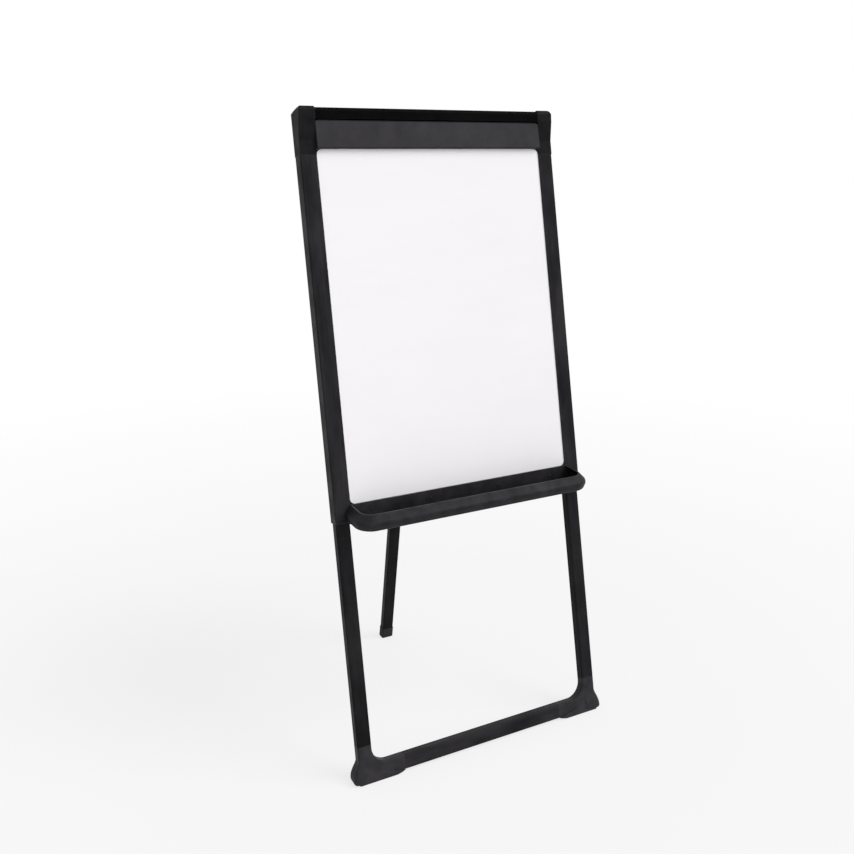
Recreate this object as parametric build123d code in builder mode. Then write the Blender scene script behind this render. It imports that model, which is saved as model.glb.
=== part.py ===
from build123d import *
from math import atan2, cos, degrees, radians, sin, tan
import os

# Whiteboard easel on two telescoping front legs and one folding rear leg.
# +X is to the right seen from the front, +Y to the back and +Z up, in millimetres.
# The origin is on the floor, in the middle of the footprint.
# The frame leans back. Its pieces are placed by depth, measured square to the board and
# backwards from the front of the side rails, and by height, measured up along the rails.

# Stance
lean_angle = 11.85
pivot_drop = 53.5
pivot_standoff = 20.4
toe_front = 7.6
rear_foot_spread = 705.7

# Board and its window
window_half_width = 350.0
window_bottom = 772.2
window_height = 951.2
window_corner_radius = 15.0
board_recess = 4.2
skin_thickness = 0.8
core_thickness = 2.4
board_tuck = 6.0
board_clearance = 0.1

# Side rails
rail_width = 47.3
rail_depth = 40.6
rail_wall = 2.1
rail_tail = 48.2
rail_corner_radius = 4.0
bevel_width = 13.0
bevel_drop = 2.0
channel_front = 8.6
collar_length = 13.0

# Legs
slide_gap = 0.9
collar_gap = 0.35
tube_wall = 2.2
tube_corner_radius = 4.5
leg_overlap = 132.0
guide_length = 36.0
spigot_length = 42.0
spigot_clearance = 0.1

# Feet and crossbar
crossbar_bottom = 10.0
boot_top = 108.0
boot_flare = 17.0
boot_heel = 13.0
boot_toe = 4.5
ankle_height = 62.0
ankle_turn = 105.0
ankle_steps = 8
boot_edge_radius = 8.0
sole_run = 24.0
sole_nose = 14.0
sole_edge = 9.0
sole_height = 30.0
elbow_reach = 93.0
inner_fillet = 46.0
foot_pad_thickness = 2.6
foot_pad_inset = 3.0

# Header
header_rise = 108.6
header_back_drop = 13.5
band_height = 31.0
nose_depth = 14.5
header_wall = 3.0
header_floor_rise = 18.6
header_front_wall = 8.0
board_rise = 20.0
board_lip = 2.4
board_lip_height = 10.0
bay_count = 8
rib_thickness = 2.4
tongue_length = 14.0
cap_bulge_rise = 24.6
cap_rise = 3.5
cap_corner_radius = 14.0
cap_spigot_length = 40.0

# Pad clamp
clamp_axis_drop = 9.3
clamp_axis_depth = -2.0
clamp_top_gap = 2.2
clamp_corner_radius = 9.0
clamp_bay_count = 8
clamp_rib_gap = 0.7
clamp_front_top = 9.0
clamp_front_bottom = 11.5
clamp_wall = 2.8
clamp_end_gap = 0.7
clamp_pin_radius = 2.0
clamp_barrel_radius = 4.6
clamp_barrel_length = 12.0
clamp_pin_reach = 10.0
grip_thickness = 2.2
grip_height = 9.0
grip_gap = 0.5
pin_running_clearance = 0.05

# Tray
tray_depth = 43.0
tray_rim_reach = 94.0
tray_overhang = 2.0
tray_flare = 20.5
tray_belly_drop = 20.0
tray_base_inset = 8.0
tray_corner_radius = 34.0
tray_belly_radius = 14.0
tray_base_radius = 9.0
tray_wall = 2.8
tray_screw_pitch = 110.0
tray_screw_margin = 60.0

# Bottom rail and its corner brackets
bottom_rail_height = 56.0
bottom_rail_depth = 34.0
bottom_rail_wall = 2.5
corner_plate = 2.0
corner_arm = 25.0

# Rear leg
lower_tube_width = 38.0
lower_tube_depth = 26.0
rear_joint = 1130.0
rear_overlap = 130.0
rear_collar_length = 26.0
rear_collar_wall = 3.2
rear_foot_height = 24.0
rear_foot_cup = 16.0
rear_foot_wall = 1.8
sole_radius = 5.0
head_radius = 15.0
head_length = 30.0
hinge_pin_radius = 4.0
pin_head_radius = 7.0
pin_head_height = 2.5
bracket_plate = 3.0
bracket_half_width = 40.0
cheek_gap = 0.5
stop_gap = 0.3

# Lock knobs
knob_radius = 12.5
knob_height = 14.0
knob_lobes = 7
stud_radius = 3.0
nut_flange_radius = 8.0
nut_barrel_radius = 4.8
nut_flange_height = 3.0
lock_gap = 0.3
lock_rise = 34.0

# Pad clamp springs
spring_wire_radius = 0.5
spring_coil_radius = 3.1
spring_turns = 5.491
spring_pitch = 1.3
spring_leg = 28.0

# Small fasteners
screw_radius = 1.9
screw_head_radius = 4.0
screw_head_height = 2.2
screw_length = 12.0

# Worked-out places
lean = radians(lean_angle)
window_top = window_bottom + window_height
rail_bottom = window_bottom - rail_tail
rail_top = window_top - window_corner_radius
header_top = window_top + header_rise
header_back_top = header_top - header_back_drop
band_bottom = header_top - band_height
header_floor = window_top + header_floor_rise
clamp_top = band_bottom - clamp_top_gap
clamp_axis_height = clamp_top - clamp_axis_drop
pivot_height = header_back_top - pivot_drop
pivot_depth = rail_depth + pivot_standoff
tray_rim_height = window_bottom * cos(lean)
tray_bottom_height = tray_rim_height - tray_depth
outer_half_width = window_half_width + rail_width
rail_centre = window_half_width + rail_width / 2
channel_width = rail_width - 2 * rail_wall
channel_depth = rail_depth - rail_wall - channel_front
channel_middle = channel_front + channel_depth / 2
leg_width = channel_width - 2 * slide_gap
leg_depth = channel_depth - 2 * slide_gap
leg_back = channel_middle + leg_depth / 2
leg_inner = rail_centre - leg_width / 2
leg_outer = rail_centre + leg_width / 2
leg_front = channel_middle - leg_depth / 2
board_edge = window_half_width + board_tuck
board_back = board_recess + skin_thickness + core_thickness
groove_front = board_recess - board_clearance
groove_back = board_back + board_clearance
crossbar_half_length = leg_inner - elbow_reach
sole_inner = crossbar_half_length + sole_run
tray_half_width = window_half_width + tray_overhang
crossbar_top = crossbar_bottom + leg_width
crossbar_middle = crossbar_bottom + leg_width / 2
lock_height = rail_bottom + lock_rise

# The footprint runs from the toes of the front feet to the back of the rear foot.
rear_foot_angle = atan2(
    rear_foot_spread - pivot_depth * cos(lean) - pivot_height * sin(lean),
    pivot_height * cos(lean) - pivot_depth * sin(lean),
)
heel_reach = (lower_tube_depth / 2 + rear_foot_wall - sole_radius) / cos(rear_foot_angle)
rear_foot_back = rear_foot_spread + heel_reach + sole_radius * (1 - tan(rear_foot_angle))
ground_line = -(toe_front + rear_foot_back) / 2

# Where the front feet stand
toe_line = ground_line + toe_front
leg_front_line = ground_line + leg_front / cos(lean)
leg_back_line = ground_line + leg_back / cos(lean)
pad_inner = sole_inner + foot_pad_inset
pad_outer = leg_outer + foot_pad_inset
pad_front = toe_line + foot_pad_inset
pad_back = leg_back_line + foot_pad_inset


def frame_point(x, depth, height):
    y = ground_line + depth * cos(lean) + height * sin(lean)
    return (x, y, height * cos(lean) - depth * sin(lean))


def across(height, x=0, depth=0):
    """Plane square to the rails: sketch x is to the right, sketch y is depth."""
    return Plane(frame_point(x, depth, height), x_dir=(1, 0, 0), z_dir=(0, sin(lean), cos(lean)))


def facing(depth, x=0, height=0):
    """Plane parallel to the board: sketch y is height, and it looks to the front."""
    return Plane(frame_point(x, depth, height), x_dir=(1, 0, 0), z_dir=(0, -cos(lean), sin(lean)))


def along(x, depth=0, height=0):
    """Upright plane in line with the lean: sketch x is depth, sketch y is height."""
    return Plane(frame_point(x, depth, height), x_dir=(0, cos(lean), -sin(lean)), z_dir=(1, 0, 0))


pivot = frame_point(0, pivot_depth, pivot_height)
rear_leg_length = pivot[2] / cos(rear_foot_angle)


def rear_point(x, behind, down):
    y = pivot[1] + down * sin(rear_foot_angle) + behind * cos(rear_foot_angle)
    return (x, y, pivot[2] - down * cos(rear_foot_angle) + behind * sin(rear_foot_angle))


def rear_across(down, x=0, behind=0):
    """Plane square to the rear leg, looking up it: sketch y points behind the leg."""
    up = (0, -sin(rear_foot_angle), cos(rear_foot_angle))
    return Plane(rear_point(x, behind, down), x_dir=(1, 0, 0), z_dir=up)


def rear_facing(behind, x=0, down=0):
    """Plane parallel to the rear leg's broad faces, looking behind it."""
    back = (0, cos(rear_foot_angle), sin(rear_foot_angle))
    return Plane(rear_point(x, behind, down), x_dir=(-1, 0, 0), z_dir=back)


def rear_along(x):
    """Upright plane in line with the rear leg: sketch x points behind it, sketch y up it."""
    back = (0, cos(rear_foot_angle), sin(rear_foot_angle))
    return Plane(rear_point(x, 0, 0), x_dir=back, z_dir=(1, 0, 0))


rail_axis = Axis((0, 0, 0), (0, sin(lean), cos(lean)))
depth_axis = Axis((0, 0, 0), (0, cos(lean), -sin(lean)))
rear_leg_axis = Axis((0, 0, 0), (0, -sin(rear_foot_angle), cos(rear_foot_angle)))

os.makedirs("parts", exist_ok=True)


def save(piece, name):
    piece.part.label = name
    export_step(piece.part, f"parts/{name}.step")


def save_pair(right_piece, name):
    """The piece is drawn on the right, and its twin is its mirror image on the left."""
    save(right_piece, f"right_{name}")
    with BuildPart() as left_piece:
        mirror(right_piece.part, about=Plane.YZ)
    save(left_piece, f"left_{name}")


def save_group(pieces, name):
    with BuildPart() as group:
        add(pieces)
    save(group, name)


def behind(depth, x, height):
    """Plane parallel to the board that looks to the back."""
    return Plane(frame_point(x, depth, height), x_dir=(-1, 0, 0), z_dir=(0, cos(lean), -sin(lean)))


def hollow_bar(base, width, depth, radius, wall, length):
    """Rectangular tube with rounded corners that stands on the base plane."""
    with BuildPart() as bar:
        with BuildSketch(base):
            RectangleRounded(width, depth, radius)
            RectangleRounded(width - 2 * wall, depth - 2 * wall, radius / 2, mode=Mode.SUBTRACT)
        extrude(amount=length)
    return bar


def screw_shank(seat, length):
    """Shank of a screw, from its seat plane down. It also cuts the screw's hole."""
    with BuildPart() as shank:
        with BuildSketch(seat):
            Circle(screw_radius)
        extrude(amount=-length)
    return shank.part


def pan_screw(seat, length):
    """Screw with a bevelled head that stands on the seat plane."""
    with BuildPart() as screw:
        with BuildSketch(seat):
            Circle(screw_head_radius)
        extrude(amount=screw_head_height)
        chamfer(screw.faces().sort_by(Axis(seat.origin, seat.z_dir))[-1].edges(), screw_head_height / 2)
        add(screw_shank(seat, length))
    return screw.part


def threaded_insert(seat):
    """Flanged nut in a tube wall, for the lock screw."""
    with BuildPart() as insert:
        with BuildSketch(seat):
            Circle(nut_flange_radius)
        extrude(amount=nut_flange_height)
        with BuildSketch(seat):
            Circle(nut_barrel_radius)
        extrude(amount=-rail_wall)
        with BuildSketch(seat.offset(nut_flange_height)):
            Circle(stud_radius + pin_running_clearance)
        extrude(amount=-nut_flange_height - rail_wall, mode=Mode.SUBTRACT)
    return insert


# Where the screws sit
foot_screw_length = tube_wall + spigot_clearance + rail_wall
foot_screw_seats = [
    behind(leg_back, side * x, height)
    for side in (-1, 1)
    for x, height in (
        (rail_centre, boot_top + spigot_length / 2),
        (crossbar_half_length - spigot_length / 2, crossbar_middle),
    )
]
cap_screw_length = header_wall + spigot_clearance + rib_thickness
cap_screw_seats = [
    behind(rail_depth, side * x, height)
    for side in (-1, 1)
    for x, height in (
        (rail_centre, rail_top - cap_spigot_length / 2),
        (window_half_width + tongue_length / 2, (header_floor + header_back_top) / 2),
    )
]
corner_screw_length = corner_plate + rail_wall
corner_middle = (groove_back + bottom_rail_wall + bottom_rail_depth) / 2
corner_screw_seats = [
    Plane(
        frame_point(side * (window_half_width - corner_plate), corner_middle, window_bottom + 2 * corner_arm / 3),
        z_dir=(-side, 0, 0),
    )
    for side in (-1, 1)
] + [
    across(window_bottom + corner_plate, side * (window_half_width - 2 * corner_arm / 3), corner_middle)
    for side in (-1, 1)
]

# Side rail: one extrusion with a front chamber, a board groove and the channel for the leg.
chamber_inner = board_edge + board_clearance + rail_wall
chamber_outer = outer_half_width - rail_wall
with BuildPart() as rail:
    with BuildSketch(across(rail_bottom + collar_length)) as rail_section:
        with BuildLine():
            Polyline(
                (window_half_width, bevel_drop),
                (window_half_width + bevel_width, 0),
                (outer_half_width, 0),
                (outer_half_width, rail_depth),
                (window_half_width, rail_depth),
                close=True,
            )
        make_face()
        fillet(rail_section.vertices().group_by(Axis.X)[-1], rail_corner_radius)
        with Locations((rail_centre, channel_middle)):
            RectangleRounded(channel_width, channel_depth, tube_corner_radius, mode=Mode.SUBTRACT)
        with Locations(((chamber_inner + chamber_outer) / 2, (rail_wall + channel_front - rail_wall) / 2)):
            Rectangle(chamber_outer - chamber_inner, channel_front - 2 * rail_wall, mode=Mode.SUBTRACT)
        with Locations((window_half_width, (groove_front + groove_back) / 2)):
            Rectangle(
                2 * (board_tuck + board_clearance), groove_back - groove_front, mode=Mode.SUBTRACT
            )
    extrude(amount=rail_top - rail_bottom - collar_length)
    with BuildSketch(facing(rail_depth)):
        with Locations((rail_centre, lock_height)):
            Circle(nut_barrel_radius)
    extrude(amount=2 * rail_wall, mode=Mode.SUBTRACT)
    add([screw_shank(seat, cap_screw_length) for seat in cap_screw_seats], mode=Mode.SUBTRACT)
    add([screw_shank(seat, corner_screw_length) for seat in corner_screw_seats], mode=Mode.SUBTRACT)
save_pair(rail, "rail")

# Collar that closes the rail's end and guides the leg, with a tongue in the front chamber
with BuildPart() as rail_collar:
    with BuildSketch(across(rail_bottom)) as collar_section:
        with Locations((rail_centre, rail_depth / 2)):
            RectangleRounded(rail_width, rail_depth, rail_corner_radius)
        with Locations((rail_centre, channel_middle)):
            RectangleRounded(
                leg_width + 2 * collar_gap,
                leg_depth + 2 * collar_gap,
                tube_corner_radius,
                mode=Mode.SUBTRACT,
            )
    extrude(amount=collar_length)
    chamfer(rail_collar.faces().sort_by(rail_axis)[0].outer_wire().edges(), 1.2)
    with BuildSketch(across(rail_bottom + collar_length)):
        with Locations(((chamber_inner + chamber_outer) / 2, channel_front / 2)):
            Rectangle(
                chamber_outer - chamber_inner - 2 * spigot_clearance,
                channel_front - 2 * rail_wall - 2 * spigot_clearance,
            )
    extrude(amount=guide_length)
save_pair(rail_collar, "rail_collar")

# Threaded insert in the back wall of the rail
save_pair(threaded_insert(behind(rail_depth, rail_centre, lock_height)), "lock_nut")

# Lock knob and its stud
knob_lift = nut_flange_height + 0.6
stud_seat = knob_height - 4


def lobed_knob(base):
    """A domed knob with finger lobes that stands on the base plane."""
    with BuildPart() as knob:
        with BuildSketch(base):
            Circle(knob_radius)
            with PolarLocations(knob_radius + 2.2, knob_lobes):
                Circle(4.0, mode=Mode.SUBTRACT)
        extrude(amount=knob_height)
        with BuildSketch(base):
            Circle(knob_radius + 1)
        extrude(amount=knob_height, taper=12, mode=Mode.INTERSECT)
        top_face = knob.faces().sort_by(Axis(base.origin, base.z_dir))[-1]
        fillet(top_face.edges(), 1.4)
        with BuildSketch(base):
            Circle(stud_radius)
        extrude(amount=stud_seat, mode=Mode.SUBTRACT)
    return knob


def lock_screw(base, reach):
    """The knob's stud: from inside the knob, past the base plane, to its tip."""
    with BuildPart() as stud:
        with BuildSketch(base.offset(stud_seat)):
            Circle(stud_radius)
        extrude(amount=-(stud_seat + reach))
        chamfer(stud.edges().sort_by(Axis(base.origin, base.z_dir))[0], 0.8)
    return stud


front_knob_base = behind(rail_depth + knob_lift, rail_centre, lock_height)
save_pair(lobed_knob(front_knob_base), "lock_knob")
save_pair(lock_screw(front_knob_base, rail_depth + knob_lift - leg_back - lock_gap), "lock_stud")

# Front leg tube
leg_top = rail_bottom + leg_overlap
with BuildPart() as leg_tube:
    add(
        hollow_bar(
            across(boot_top, rail_centre, channel_middle),
            leg_width,
            leg_depth,
            tube_corner_radius,
            tube_wall,
            leg_top - boot_top,
        ).part
    )
    add([screw_shank(seat, foot_screw_length) for seat in foot_screw_seats], mode=Mode.SUBTRACT)
save_pair(leg_tube, "leg_tube")


def guide_block(base, inner_width, inner_depth, outer_width, outer_depth):
    """Block plugged into a tube's upper end, with a head that slides in the outer channel."""
    with BuildPart() as block:
        with BuildSketch(base):
            RectangleRounded(outer_width, outer_depth, tube_corner_radius)
        extrude(amount=guide_length / 3)
        chamfer(block.faces().sort_by(Axis(base.origin, base.z_dir))[-1].edges(), 1.0)
        with BuildSketch(base):
            RectangleRounded(inner_width, inner_depth, tube_corner_radius / 2)
        extrude(amount=-guide_length)
        with BuildSketch(base.offset(-guide_length)):
            RectangleRounded(inner_width - 3 * tube_wall, inner_depth - 3 * tube_wall, tube_corner_radius / 2)
        extrude(amount=guide_length, mode=Mode.SUBTRACT)
    return block


plug_width = leg_width - 2 * (tube_wall + spigot_clearance)
plug_depth = leg_depth - 2 * (tube_wall + spigot_clearance)
leg_guide = guide_block(
    across(leg_top, rail_centre, channel_middle),
    plug_width,
    plug_depth,
    channel_width - 2 * collar_gap,
    channel_depth - 2 * collar_gap,
)
save_pair(leg_guide, "leg_guide")

# Crossbar between the feet, of the same tube as the legs
with BuildPart() as crossbar:
    add(
        hollow_bar(
            along(-crossbar_half_length, channel_middle, crossbar_middle),
            leg_depth,
            leg_width,
            tube_corner_radius,
            tube_wall,
            2 * crossbar_half_length,
        ).part
    )
    add([screw_shank(seat, foot_screw_length) for seat in foot_screw_seats], mode=Mode.SUBTRACT)
save(crossbar, "crossbar")

# Foot: a moulded elbow between leg and crossbar with a large inner radius. Its ankle swells
# into a round boot, and a long sole fades out under the crossbar.
sole_depth = leg_back_line + boot_heel - toe_line


def boot_outline(level, swell):
    """Level outline of the boot: swell is 0 inside the leg tube's outline and 1 at the widest."""
    leaning = level * tan(lean)
    outer = leg_outer - 0.2 + (boot_flare + 0.2) * swell
    inner = leg_inner + 0.2
    back = leg_back_line + leaning - 0.2 + (boot_heel + 0.2) * swell
    front = leg_front_line + leaning + 0.2 - (boot_toe + 0.2) * swell
    with BuildSketch(Plane.XY.offset(level)) as outline:
        with Locations(((outer + inner) / 2, (back + front) / 2)):
            RectangleRounded(outer - inner, back - front, tube_corner_radius + 7 * swell)
    return outline.sketch


with BuildPart() as boot:
    for step in range(ankle_steps):
        share = step / (ankle_steps - 1)
        level = ankle_height + (foot_pad_thickness - ankle_height) * share
        add(boot_outline(level, sin(radians(ankle_turn) * share) ** 1.4))
    loft()
    fillet(boot.faces().sort_by(Axis.Z)[0].edges(), boot_edge_radius)

with BuildPart() as sole:
    with BuildSketch(Plane.XZ.offset(-toe_line)) as sole_view:
        with BuildLine():
            Polyline(
                (leg_outer, foot_pad_thickness),
                (sole_inner, foot_pad_thickness),
                (crossbar_half_length, sole_edge),
                (leg_inner, sole_height),
                (leg_outer, sole_height),
                close=True,
            )
        make_face()
        fillet(sole_view.vertices().sort_by_distance((sole_inner, foot_pad_thickness, 0))[0], sole_nose)
    extrude(amount=-sole_depth)
    with BuildSketch(Plane.YZ.offset(crossbar_half_length)):
        with BuildLine():
            Polyline(
                (toe_line, foot_pad_thickness),
                (toe_line, sole_edge),
                (leg_front_line + sole_height * tan(lean) + 0.3, sole_height),
                (leg_back_line + sole_height * tan(lean) - 0.3, sole_height),
                (toe_line + sole_depth, sole_edge),
                (toe_line + sole_depth, foot_pad_thickness),
                close=True,
            )
        make_face()
    extrude(amount=leg_outer - crossbar_half_length, mode=Mode.INTERSECT)
    with BuildSketch():
        with BuildLine():
            Polyline(
                (crossbar_half_length, leg_front_line),
                (sole_inner - sole_nose, toe_line),
                (leg_outer, toe_line),
                (leg_outer, toe_line + sole_depth),
                (leg_inner, toe_line + sole_depth),
                (crossbar_half_length, leg_back_line),
                close=True,
            )
        make_face()
    extrude(amount=sole_height, mode=Mode.INTERSECT)

with BuildPart() as foot:
    with BuildSketch(facing(leg_back)) as elbow_view:
        with BuildLine():
            Polyline(
                (leg_outer, boot_top),
                (leg_inner, boot_top),
                (leg_inner, crossbar_top),
                (crossbar_half_length, crossbar_top),
                (crossbar_half_length, crossbar_bottom),
                (leg_outer, crossbar_bottom),
                close=True,
            )
        make_face()
        fillet(elbow_view.vertices().sort_by_distance((leg_inner, crossbar_top, 0))[0], inner_fillet)
    extrude(amount=leg_depth)
    leg_joint = foot.faces().sort_by(rail_axis)[-1]
    arm_joint = foot.faces().sort_by(Axis.X)[0]
    broad_faces = foot.faces().filter_by(depth_axis)
    joint_edges = leg_joint.edges() + arm_joint.edges()
    fillet(broad_faces.edges() - joint_edges, tube_corner_radius)
    add(boot.part)
    add(sole.part)
    split(bisect_by=Plane.XY.offset(foot_pad_thickness), keep=Keep.TOP)
    split(bisect_by=Plane.XZ.offset(-toe_line), keep=Keep.BOTTOM)
    add(
        hollow_bar(
            across(boot_top, rail_centre, channel_middle),
            plug_width,
            plug_depth,
            tube_corner_radius / 2,
            rail_wall,
            spigot_length,
        ).part
    )
    add(
        hollow_bar(
            along(crossbar_half_length - spigot_length, channel_middle, crossbar_middle),
            plug_depth,
            plug_width,
            tube_corner_radius / 2,
            rail_wall,
            spigot_length,
        ).part
    )
    add([screw_shank(seat, foot_screw_length) for seat in foot_screw_seats], mode=Mode.SUBTRACT)
save_pair(foot, "foot")

# Rubber pad under each foot
with BuildPart() as foot_pad:
    with BuildSketch():
        with Locations(((pad_inner + pad_outer) / 2, (pad_front + pad_back) / 2)):
            RectangleRounded(pad_outer - pad_inner, pad_back - pad_front, 2 * foot_pad_inset)
    extrude(amount=foot_pad_thickness)
save_pair(foot_pad, "foot_pad")

# Screws from behind that hold the boots in the leg tubes and the crossbar
save_group([pan_screw(seat, foot_screw_length) for seat in foot_screw_seats], "foot_screws")

# Board: a thin dry-wipe skin on a hardboard core
board_bottom = window_bottom - board_tuck - 2
board_top = header_floor + board_rise
for piece_name, front, thickness in (
    ("board_face", board_recess, skin_thickness),
    ("board_core", board_recess + skin_thickness, core_thickness),
):
    with BuildPart() as sheet:
        with BuildSketch(facing(front + thickness)):
            with Locations((0, (board_bottom + board_top) / 2)):
                Rectangle(2 * board_edge, board_top - board_bottom)
        extrude(amount=thickness)
    save(sheet, piece_name)

# Bottom rail: a hollow bar with the board's lower groove, and round corners for the window
rail_shelf = board_bottom - board_clearance - bottom_rail_wall
inner_back = bottom_rail_depth - bottom_rail_wall
rail_floor = window_bottom - bottom_rail_height
tray_screw_seats = [
    facing(-tray_wall, side * x, window_bottom - tray_depth / 2)
    for side in (-1, 1)
    for x in (tray_screw_pitch, window_half_width - tray_screw_margin)
]
with BuildPart() as bottom_rail:
    with BuildSketch(along(-window_half_width)):
        with Locations((bottom_rail_depth / 2, (rail_floor + window_bottom) / 2)):
            Rectangle(bottom_rail_depth, bottom_rail_height)
        with BuildLine():
            Polyline(
                (bottom_rail_wall, rail_floor + bottom_rail_wall),
                (inner_back, rail_floor + bottom_rail_wall),
                (inner_back, window_bottom - bottom_rail_wall),
                (groove_back + bottom_rail_wall, window_bottom - bottom_rail_wall),
                (groove_back + bottom_rail_wall, rail_shelf),
                (bottom_rail_wall, rail_shelf),
                close=True,
            )
        make_face(mode=Mode.SUBTRACT)
        with Locations(((groove_front + groove_back) / 2, window_bottom)):
            Rectangle(
                groove_back - groove_front,
                2 * (window_bottom - board_bottom + board_clearance),
                mode=Mode.SUBTRACT,
            )
    extrude(amount=2 * window_half_width)
    with BuildSketch(facing(groove_front)):
        with Locations((0, window_bottom + window_corner_radius / 2)):
            Rectangle(2 * window_half_width, window_corner_radius)
        with Locations((0, window_bottom + 2 * window_corner_radius)):
            RectangleRounded(
                2 * window_half_width,
                4 * window_corner_radius,
                window_corner_radius,
                mode=Mode.SUBTRACT,
            )
    extrude(amount=groove_front - bevel_drop)
    add([screw_shank(seat, screw_length) for seat in tray_screw_seats], mode=Mode.SUBTRACT)
    add([screw_shank(seat, corner_screw_length) for seat in corner_screw_seats], mode=Mode.SUBTRACT)
save(bottom_rail, "bottom_rail")

# Steel angles behind the board that join the bottom rail to the side rails
corner_width = bottom_rail_depth - groove_back - 2 * bottom_rail_wall
with BuildPart() as corner_brackets:
    with BuildSketch(facing(corner_middle + corner_width / 2)):
        for side in (-1, 1):
            corner_x = side * window_half_width
            with Locations((corner_x - side * corner_arm / 2, window_bottom + corner_plate / 2)):
                Rectangle(corner_arm, corner_plate)
            with Locations((corner_x - side * corner_plate / 2, window_bottom + corner_arm / 2)):
                Rectangle(corner_plate, corner_arm)
    extrude(amount=corner_width)
    add([screw_shank(seat, corner_screw_length) for seat in corner_screw_seats], mode=Mode.SUBTRACT)
save(corner_brackets, "corner_brackets")
save_group([pan_screw(seat, corner_screw_length) for seat in corner_screw_seats], "corner_screws")

# Tray: a level moulded trough. Its walls flare out from the rim to a belly and come in again
# to the base, and its back is flat against the frame.
tray_belly_height = tray_rim_height - tray_belly_drop
tray_front = ground_line + tray_rim_height * tan(lean) - tray_rim_reach
tray_plan_back = tray_front + 2 * tray_rim_reach
base_drop = tray_depth - tray_belly_drop
with BuildPart() as tray:
    with BuildSketch(Plane.XY.offset(tray_belly_height)) as belly_plan:
        with Locations((0, (tray_front + tray_plan_back) / 2)):
            RectangleRounded(
                2 * (tray_half_width + tray_flare),
                tray_plan_back - tray_front + 2 * tray_flare,
                tray_corner_radius + tray_flare,
            )
    extrude(amount=tray_belly_drop, taper=degrees(atan2(tray_flare, tray_belly_drop)))
    extrude(belly_plan.sketch, amount=-base_drop, taper=degrees(atan2(tray_base_inset, base_drop)))
    split(bisect_by=facing(0), keep=Keep.TOP)
    belly_edges = tray.edges().filter_by_position(Axis.Z, tray_belly_height, tray_belly_height)
    fillet(belly_edges, tray_belly_radius)
    base_edges = tray.faces().sort_by(Axis.Z)[0].edges()
    fillet(base_edges - base_edges.sort_by(Axis.Y)[-1:], tray_base_radius)
    offset(amount=-tray_wall, openings=tray.faces().sort_by(Axis.Z)[-1])
    add([screw_shank(seat, screw_length) for seat in tray_screw_seats], mode=Mode.SUBTRACT)
save(tray, "tray")
save_group([pan_screw(seat, screw_length) for seat in tray_screw_seats], "tray_screws")


# Header beam: a moulded channel, open at the back, with ribs, a nose that hangs over the
# pad clamp and a lip that holds the board's upper edge. A hollow tongue at each end enters
# the corner cap.
nose_back = nose_depth - 5
ledge_top = board_top + board_clearance + header_wall
pocket_front = header_front_wall + header_wall
pocket_back = rail_depth - header_wall
pocket_floor = header_floor + header_wall
pocket_top = header_back_top - 2 * header_wall
tongue_middle = (pocket_front + pocket_back) / 2
tongue_height = (pocket_floor + pocket_top) / 2
bracket_pad = bracket_half_width + 5
bracket_bottom = header_floor + 1
bracket_top = header_back_top - 5
bracket_screw_seats = [
    behind(rail_depth + bracket_plate, x, height)
    for x in (-bracket_half_width + 8, bracket_half_width - 8)
    for height in (bracket_bottom + 8, bracket_top - 8)
]
with BuildPart() as header_beam:
    with BuildSketch(along(-window_half_width)) as header_section:
        with BuildLine():
            Polyline(
                (2 - nose_depth, band_bottom),
                (-nose_depth, header_top - 10),
                (-nose_back, header_top),
                (rail_depth, header_back_top),
                (rail_depth, header_floor),
                (groove_back + board_clearance, header_floor),
                (groove_back + board_clearance, board_top + board_clearance),
                (groove_front, board_top + board_clearance),
                (groove_front, board_top - board_lip_height),
                (groove_front - board_lip, board_top - board_lip_height),
                (groove_front - board_lip, ledge_top),
                (header_front_wall, ledge_top),
                (header_front_wall, band_bottom),
                close=True,
            )
        make_face()
        fillet(header_section.vertices().sort_by(Axis.Y)[-1], 4)
    extrude(amount=2 * window_half_width)
    bay_pitch = (2 * window_half_width - rib_thickness) / bay_count
    with BuildSketch(along(-window_half_width + rib_thickness)):
        with BuildLine():
            Polyline(
                (rail_depth, pocket_floor),
                (pocket_front, pocket_floor),
                (pocket_front, band_bottom + header_wall),
                (2 + header_wall - nose_depth, band_bottom + header_wall),
                (header_wall - nose_depth, header_top - 11),
                (header_wall - nose_back, header_top - header_wall - 1),
                (rail_depth, header_back_top - header_wall),
                close=True,
            )
        make_face()
    bay = extrude(amount=bay_pitch - rib_thickness, mode=Mode.PRIVATE)
    for bay_number in range(bay_count):
        with Locations((bay_number * bay_pitch, 0, 0)):
            add(bay, mode=Mode.SUBTRACT)
    with BuildSketch(facing(rail_depth)):
        with Locations((0, (header_floor + header_back_top) / 2)):
            Rectangle(2 * bracket_pad, header_back_top - header_floor)
    extrude(amount=header_wall)
    add([screw_shank(seat, screw_length) for seat in bracket_screw_seats], mode=Mode.SUBTRACT)
    for side in (-1, 1):
        add(
            hollow_bar(
                along(side * window_half_width + (side - 1) * tongue_length / 2, tongue_middle, tongue_height),
                pocket_back - pocket_front - 2 * spigot_clearance,
                pocket_top - pocket_floor - 2 * spigot_clearance,
                2,
                rib_thickness,
                tongue_length,
            ).part
        )
    add([screw_shank(seat, cap_screw_length) for seat in cap_screw_seats], mode=Mode.SUBTRACT)
save(header_beam, "header_beam")

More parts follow.
